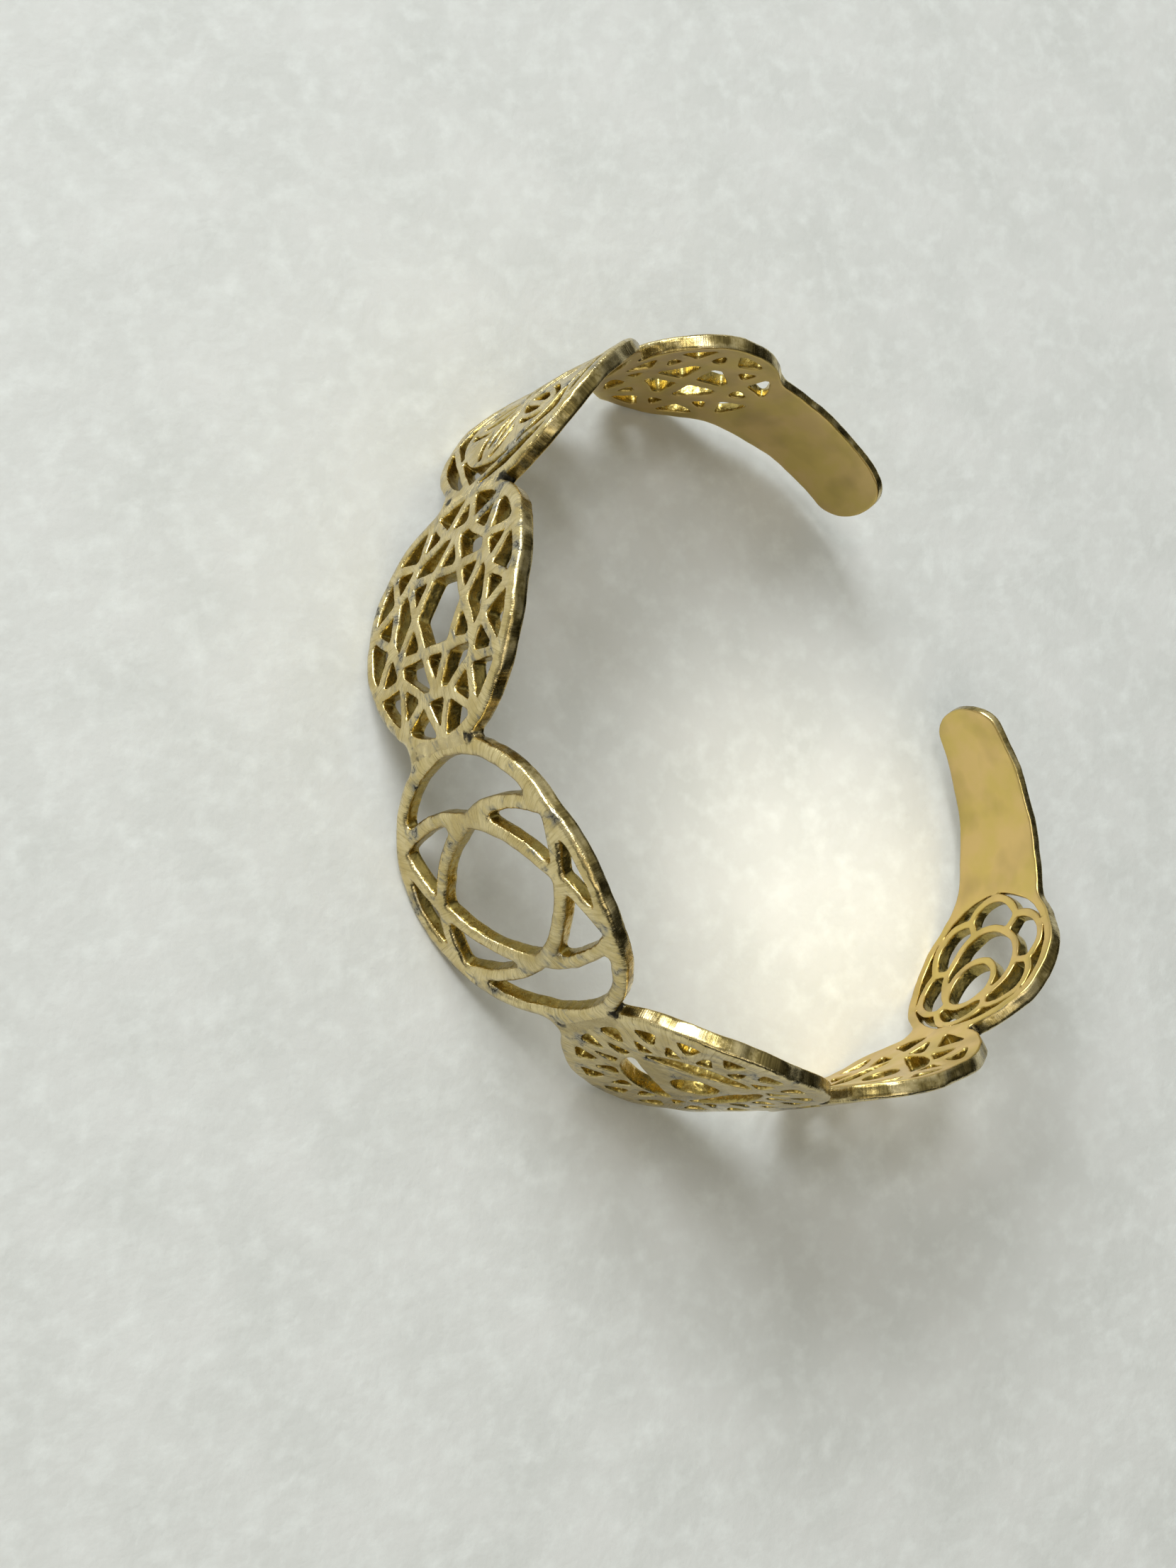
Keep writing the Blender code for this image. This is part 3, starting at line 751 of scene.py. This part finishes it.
class Nodes:
    """Short calls that add nodes to a material or a world and link them."""

    def __init__(self, owner, shader="Principled BSDF"):
        owner.use_nodes = True
        self.tree = owner.node_tree
        self.shader = self.tree.nodes[shader]

    def add(self, kind, **settings):
        node = self.tree.nodes.new(kind)
        for name, value in settings.items():
            setattr(node, name, value)
        return node

    def link(self, start, end):
        self.tree.links.new(start, end)

    def attribute(self, name, output="Vector"):
        """A measure of the mesh; the output Fac gives a single length."""
        return self.add("ShaderNodeAttribute", attribute_name=name).outputs[output]

    def scaled(self, vector, scale):
        """A vector multiplied by three numbers."""
        node = self.add("ShaderNodeVectorMath", operation="MULTIPLY")
        self.link(vector, node.inputs[0])
        node.inputs[1].default_value = scale
        return node.outputs[0]

    def turned(self, vector, degrees, scale):
        """A vector turned about its third axis and then multiplied by three numbers."""
        node = self.add("ShaderNodeVectorRotate", rotation_type="Z_AXIS")
        self.link(vector, node.inputs["Vector"])
        node.inputs["Angle"].default_value = math.radians(degrees)
        return self.scaled(node.outputs["Vector"], scale)

    def noise(self, vector, scale, detail=3.0, roughness=0.55):
        """Cloudy noise around 0.5, with about scale lumps for each unit of the vector."""
        node = self.add("ShaderNodeTexNoise")
        self.link(vector, node.inputs["Vector"])
        node.inputs["Scale"].default_value = scale
        node.inputs["Detail"].default_value = detail
        node.inputs["Roughness"].default_value = roughness
        return node.outputs["Fac"]

    def ramp(self, value, low, high, start=0.0, end=1.0):
        """A value mapped from the range low to high onto the range start to end."""
        node = self.add("ShaderNodeMapRange")
        self.link(value, node.inputs["Value"])
        for name, number in (("From Min", low), ("From Max", high), ("To Min", start), ("To Max", end)):
            node.inputs[name].default_value = number
        return node.outputs["Result"]

    def math(self, operation, *values):
        """Arithmetic on values; each may be a number or an output."""
        node = self.add("ShaderNodeMath", operation=operation)
        for socket, value in zip(node.inputs, values):
            if isinstance(value, (int, float)):
                socket.default_value = value
            else:
                self.link(value, socket)
        return node.outputs[0]

    def mix(self, share, first, second):
        """Two colours mixed; either may be a colour or an output."""
        node = self.add("ShaderNodeMix", data_type="RGBA")
        sockets = (node.inputs["Factor"], node.inputs[6], node.inputs[7])
        for socket, value in zip(sockets, (share, first, second)):
            if isinstance(value, (tuple, int, float)):
                socket.default_value = value
            else:
                self.link(value, socket)
        return node.outputs[2]

    def bump(self, height, distance, strength, before=None):
        """The surface's direction with a height from 0 to 1 raised by distance, over an earlier bump."""
        node = self.add("ShaderNodeBump")
        node.inputs["Strength"].default_value = strength
        node.inputs["Distance"].default_value = distance
        self.link(height, node.inputs["Height"])
        if before is not None:
            self.link(before, node.inputs["Normal"])
        return node.outputs["Normal"]


# Colours of the brass: pale to khaki where it is worn bright, warm to amber on the inside, olive where it is
# brushed and filed, amber to deep in the openings, deepened as painted shade and painted light bounced
# between their walls, umber where the skin of the casting is left or stained, slate in smudges, patina along
# cracks, and patina with painted shade in the notches
PALE = (0.79, 0.66, 0.36, 1.0)
KHAKI = (0.63, 0.50, 0.225, 1.0)
WARM = (0.65, 0.48, 0.20, 1.0)
OLIVE = (0.42, 0.33, 0.13, 1.0)
AMBER = (0.62, 0.48, 0.16, 1.0)
DEEP_SHADE_AMBER = (0.48, 0.37, 0.11, 1.0)
UMBER = (0.18, 0.135, 0.045, 1.0)
SLATE = (0.20, 0.21, 0.21, 1.0)
PATINA_AND_SHADE = (0.045, 0.04, 0.028, 1.0)


def finish(nodes, colour, rough, normal):
    """Sets a metal's looks on its shader."""
    nodes.link(colour, nodes.shader.inputs["Base Color"])
    nodes.shader.inputs["Metallic"].default_value = 1.0
    nodes.link(rough, nodes.shader.inputs["Roughness"])
    nodes.link(normal, nodes.shader.inputs["Normal"])


def notch_patina_and_shade(nodes, band):
    """Patina, with painted shade, that stays in the notches between the medallions."""
    near = nodes.ramp(nodes.attribute("notch", "Fac"), 0.1, 1.0, 1.0, 0.0)
    blotches = nodes.noise(band, 2.4, detail=5.0, roughness=0.7)
    return nodes.ramp(nodes.math("ADD", blotches, near), 1.00, 1.25)


def face_material():
    """Outer face: satin, brushed crosswise, with smudges, cracks, and patina with painted shade in the
    notches.
    """
    material = bpy.data.materials.new("brass_face")
    nodes = Nodes(material)
    band, edge = nodes.attribute("band"), nodes.attribute("edge", "Fac")
    across_rims = nodes.scaled(nodes.attribute("around"), (5.0, 5.0, 0.35))
    cloud = nodes.noise(band, 0.55, detail=4.0)
    strokes = nodes.noise(across_rims, 1.0, detail=4.0, roughness=0.65)
    grain = nodes.noise(band, 12.0)
    dents = nodes.noise(band, 1.1, detail=2.0, roughness=0.4)
    veins = nodes.math("SUBTRACT", nodes.noise(band, 0.42, roughness=0.6), 0.5)
    veins = nodes.math("ABSOLUTE", veins)
    stained = nodes.ramp(nodes.noise(band, 0.38), 0.54, 0.62)
    cracks = nodes.math("MULTIPLY", nodes.ramp(veins, 0.002, 0.010, 1.0, 0.0), stained)
    smears = nodes.math("MULTIPLY", nodes.ramp(veins, 0.01, 0.12, 1.0, 0.0), stained)
    # Cracks, and patina with painted shade in the notches between the medallions
    dirt_and_notch_shade = nodes.math("MAXIMUM", cracks, notch_patina_and_shade(nodes, band))
    smudges = nodes.noise(nodes.turned(band, 24, (0.40, 1.4, 1.0)), 1.0, detail=5.0, roughness=0.65)
    smudges = nodes.math("MAXIMUM", smears, nodes.ramp(smudges, 0.59, 0.70))
    colour = nodes.mix(nodes.ramp(cloud, 0.40, 0.60), PALE, KHAKI)
    colour = nodes.mix(nodes.ramp(strokes, 0.48, 0.68, 0.0, 0.68), colour, OLIVE)
    colour = nodes.mix(nodes.math("MULTIPLY", smudges, 0.8), colour, SLATE)
    colour = nodes.mix(dirt_and_notch_shade, colour, PATINA_AND_SHADE)
    rough = nodes.ramp(strokes, 0.40, 0.65, 0.13, 0.30)
    rough = nodes.math("ADD", rough, nodes.ramp(edge, 0.0, 0.20, -0.05, 0.0))
    rough = nodes.math("ADD", rough, nodes.math("MULTIPLY", dirt_and_notch_shade, 0.25))
    normal = nodes.bump(dents, distance=0.00018, strength=0.9)
    normal = nodes.bump(strokes, distance=0.00005, strength=0.9, before=normal)
    normal = nodes.bump(dirt_and_notch_shade, distance=0.00004, strength=-0.8, before=normal)
    normal = nodes.bump(grain, distance=0.00001, strength=0.5, before=normal)
    finish(nodes, colour, rough, normal)
    return material


def inner_material():
    """Inner face: smooth satin from wear on the wrist, with a few faint stains."""
    material = bpy.data.materials.new("brass_inner")
    nodes = Nodes(material)
    band = nodes.attribute("band")
    cloud = nodes.noise(band, 0.30, detail=4.0)
    hairlines = nodes.noise(nodes.turned(band, 6, (0.6, 7.0, 1.0)), 1.3)
    stains = nodes.noise(band, 0.33, detail=2.0, roughness=0.4)
    colour = nodes.mix(nodes.ramp(cloud, 0.40, 0.60), WARM, AMBER)
    colour = nodes.mix(nodes.ramp(stains, 0.48, 0.80, 0.0, 0.36), colour, UMBER)
    rough = nodes.ramp(cloud, 0.3, 0.7, 0.30, 0.42)
    finish(nodes, colour, rough, nodes.bump(hairlines, distance=0.000015, strength=0.4))
    return material


def rim_material():
    """Rims: filed in a few broad flats, smoothed by wear, with dark skin left between them."""
    material = bpy.data.materials.new("brass_rim")
    nodes = Nodes(material)
    band = nodes.attribute("band")
    across_rims = nodes.scaled(nodes.attribute("around"), (6.0, 6.0, 1.0))
    cloud = nodes.noise(band, 0.42, detail=4.0, roughness=0.65)
    flats = nodes.noise(band, 0.40, detail=1.0, roughness=0.3)
    file_marks = nodes.noise(across_rims, 1.0, roughness=0.6)
    pits = nodes.noise(band, 6.0, detail=4.0, roughness=0.6)
    skin = nodes.math("MULTIPLY", nodes.ramp(cloud, 0.49, 0.56), nodes.ramp(file_marks, 0.36, 0.56))
    colour = nodes.mix(nodes.ramp(cloud, 0.40, 0.52), PALE, OLIVE)
    colour = nodes.mix(nodes.math("MULTIPLY", skin, 0.85), colour, UMBER)
    # Patina with painted shade in the notches between the medallions
    colour = nodes.mix(notch_patina_and_shade(nodes, band), colour, PATINA_AND_SHADE)
    rough = nodes.ramp(pits, 0.3, 0.7, 0.20, 0.32)
    normal = nodes.bump(flats, distance=0.00075, strength=0.9)
    normal = nodes.bump(file_marks, distance=0.00003, strength=0.6, before=normal)
    finish(nodes, colour, rough, nodes.bump(pits, distance=0.00001, strength=0.5, before=normal))
    return material


def opening_material():
    """Walls of the openings: the casting's own uneven skin, glinting, in a deep colour that paints their
    shade and the light bounced between them.
    """
    material = bpy.data.materials.new("brass_opening")
    nodes = Nodes(material)
    band = nodes.attribute("band")
    grain = nodes.noise(band, 6.0, detail=4.0, roughness=0.6)
    lumps = nodes.noise(band, 1.5, detail=2.0, roughness=0.4)
    cloud = nodes.noise(band, 0.9, detail=4.0)
    # Amber to deep: a deeper colour that paints the walls' shade and the light bounced between them
    colour = nodes.mix(nodes.ramp(cloud, 0.35, 0.62), AMBER, DEEP_SHADE_AMBER)
    colour = nodes.mix(nodes.ramp(lumps, 0.52, 0.72, 0.0, 0.35), colour, UMBER)
    rough = nodes.ramp(grain, 0.3, 0.7, 0.22, 0.36)
    normal = nodes.bump(lumps, distance=0.00014, strength=0.9)
    finish(nodes, colour, rough, nodes.bump(grain, distance=0.000008, strength=0.8, before=normal))
    return material


# Where the camera stands, the point of the floor that it looks at, its turn about its own axis, its lens
# in millimetres for a frame whose long side is 36 mm, and the nearest that it sees
CAMERA_PLACE = Vector((-0.10551, -0.00123, 0.16657))
CAMERA_AIM = Vector((-0.00786, -0.00092, 0.0))
CAMERA_ROLL = 74.69
CAMERA_LENS = 57.8
CAMERA_NEAR = 0.005


def make_camera():
    """Camera at the photograph's viewing angle."""
    camera = bpy.data.objects.new("camera", bpy.data.cameras.new("camera"))
    camera.data.lens = CAMERA_LENS
    camera.data.clip_start = CAMERA_NEAR
    level = (CAMERA_AIM - CAMERA_PLACE).to_track_quat("-Z", "Y").to_matrix()
    turned = level @ Matrix.Rotation(math.radians(CAMERA_ROLL), 3, "Z")
    camera.matrix_world = Matrix.Translation(CAMERA_PLACE) @ turned.to_4x4()
    bpy.context.scene.collection.objects.link(camera)
    bpy.context.scene.camera = camera


# The floor: how far it reaches from the middle, its colour with darker mottles and paler flecks, and its
# roughness
FLOOR_REACH = 1.5
FLOOR_COLOUR = (0.765, 0.775, 0.765, 1.0)
FLOOR_SHADE = (0.70, 0.715, 0.70, 1.0)
FLOOR_FLECK = (0.84, 0.865, 0.855, 1.0)
FLOOR_ROUGHNESS = 0.75


def floor_material():
    """Pale matt board with a faint mottle and fibres."""
    material = bpy.data.materials.new("floor")
    nodes = Nodes(material)
    place = nodes.add("ShaderNodeTexCoord").outputs["Object"]
    mottle = nodes.noise(place, 120.0, detail=5.0)
    fibre = nodes.noise(place, 900.0)
    flecks = nodes.noise(place, 480.0, detail=4.0)
    colour = nodes.mix(nodes.ramp(mottle, 0.35, 0.65), FLOOR_COLOUR, FLOOR_SHADE)
    colour = nodes.mix(nodes.ramp(flecks, 0.46, 0.80), colour, FLOOR_FLECK)
    nodes.link(colour, nodes.shader.inputs["Base Color"])
    nodes.link(nodes.bump(fibre, distance=0.0002, strength=0.25), nodes.shader.inputs["Normal"])
    nodes.shader.inputs["Roughness"].default_value = FLOOR_ROUGHNESS
    return material


def make_floor():
    """Square floor at the level that the cuff rests on."""
    mesh = bpy.data.meshes.new("floor")
    corners = [(-FLOOR_REACH, -FLOOR_REACH, 0), (FLOOR_REACH, -FLOOR_REACH, 0),
               (FLOOR_REACH, FLOOR_REACH, 0), (-FLOOR_REACH, FLOOR_REACH, 0)]
    mesh.from_pydata(corners, [], [(0, 1, 2, 3)])
    mesh.materials.append(floor_material())
    floor = bpy.data.objects.new("floor", mesh)
    bpy.context.scene.collection.objects.link(floor)


# Soft boxes, which face the middle of the cuff: name, place, width, height, power and colour
SOFT_BOXES = (
    ("window", (-0.28, 0.83, 0.56), 0.50, 0.34, 7.9, (0.92, 0.965, 0.985)),
    ("ceiling", (-0.27, 0.36, 0.80), 0.19, 0.14, 1.1, (1.0, 0.99, 0.97)),
    ("lamp", (-0.32, -0.30, 0.62), 0.50, 0.40, 0.85, (1.0, 0.93, 0.78)),
)

# A narrow beam that brightens the floor inside the band, as the curved inner faces do: the point that it
# falls on, where it comes from beyond that point, and its power, colour, size and spread
GLOW_AIM = Vector((0.0105, -0.0155, 0.0))
GLOW_OFFSET = Vector((-0.12, 0.45, 0.52))
GLOW_POWER = 11.0
GLOW_COLOUR = (1.0, 0.90, 0.70)
GLOW_SIZE = 0.008
GLOW_SPREAD = 2.7

# The room round the cuff: dark low down beyond the mouth and where the onlooker leans over the cuff, and
# bright overhead and on the window's side. A side is a direction, and its range says how near to it the
# change begins and ends, where 1 is straight towards it and 0 square to it
BRIGHT_SIDE = (-0.35, 0.62, 0.70)
BRIGHT_RANGE = (-0.20, 0.95)
ONLOOKER_SIDE = (-0.535, -0.10, 0.835)
ONLOOKER_RANGE = (0.90, 0.975)
ROOM_DARK = (0.016, 0.016, 0.010, 1.0)
ROOM_BRIGHT = (0.535, 0.535, 0.475, 1.0)
ONLOOKER = (0.05, 0.048, 0.04, 1.0)


def place_light(lamp, place, aim):
    """Puts a light at a place, facing a point."""
    light = bpy.data.objects.new(lamp.name, lamp)
    light.location = place
    light.rotation_euler = (aim - place).to_track_quat("-Z", "Y").to_euler()
    bpy.context.scene.collection.objects.link(light)


def soft_box(name, place, width, height, power, colour):
    """A soft box that faces the middle of the cuff."""
    lamp = bpy.data.lights.new(name, "AREA")
    lamp.shape = "RECTANGLE"
    lamp.size, lamp.size_y, lamp.energy, lamp.color = width, height, power, colour
    place_light(lamp, Vector(place), Vector((0, 0, 0)))


def make_glow():
    """The narrow beam onto the floor inside the band."""
    glow = bpy.data.lights.new("glow", "SPOT")
    glow.energy, glow.color, glow.shadow_soft_size = GLOW_POWER, GLOW_COLOUR, GLOW_SIZE
    glow.spot_size, glow.spot_blend, glow.use_shadow = math.radians(GLOW_SPREAD), 1.0, False
    place_light(glow, GLOW_AIM + GLOW_OFFSET, GLOW_AIM)


def facing(nodes, side, reach):
    """Share from 0 to 1 by how far a direction of the room lies towards a side of it."""
    way = nodes.add("ShaderNodeTexCoord").outputs["Generated"]
    towards = nodes.add("ShaderNodeVectorMath", operation="DOT_PRODUCT")
    nodes.link(way, towards.inputs[0])
    towards.inputs[1].default_value = Vector(side).normalized()
    share = nodes.add("ShaderNodeMapRange", interpolation_type="SMOOTHSTEP")
    nodes.link(towards.outputs["Value"], share.inputs["Value"])
    share.inputs["From Min"].default_value, share.inputs["From Max"].default_value = reach
    return share.outputs["Result"]


def make_room():
    """The room's own light, and what the brass mirrors of it."""
    world = bpy.data.worlds.new("room")
    nodes = Nodes(world, "Background")
    colour = nodes.mix(facing(nodes, BRIGHT_SIDE, BRIGHT_RANGE), ROOM_DARK, ROOM_BRIGHT)
    colour = nodes.mix(facing(nodes, ONLOOKER_SIDE, ONLOOKER_RANGE), colour, ONLOOKER)
    nodes.link(colour, nodes.shader.inputs["Color"])
    bpy.context.scene.world = world


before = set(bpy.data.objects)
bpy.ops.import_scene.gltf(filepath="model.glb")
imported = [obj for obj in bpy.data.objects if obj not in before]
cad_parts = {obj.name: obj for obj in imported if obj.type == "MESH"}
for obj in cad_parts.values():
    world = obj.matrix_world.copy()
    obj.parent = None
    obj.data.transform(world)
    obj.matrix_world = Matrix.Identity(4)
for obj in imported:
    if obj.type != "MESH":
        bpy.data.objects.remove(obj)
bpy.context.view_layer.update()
bpy.context.scene.view_settings.view_transform = "Standard"
make_camera()
make_floor()
for box in SOFT_BOXES:
    soft_box(*box)
make_glow()
make_room()
casting = build_casting([face_material(), inner_material(), rim_material(), opening_material()])
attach(casting, "root")
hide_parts("cuff")
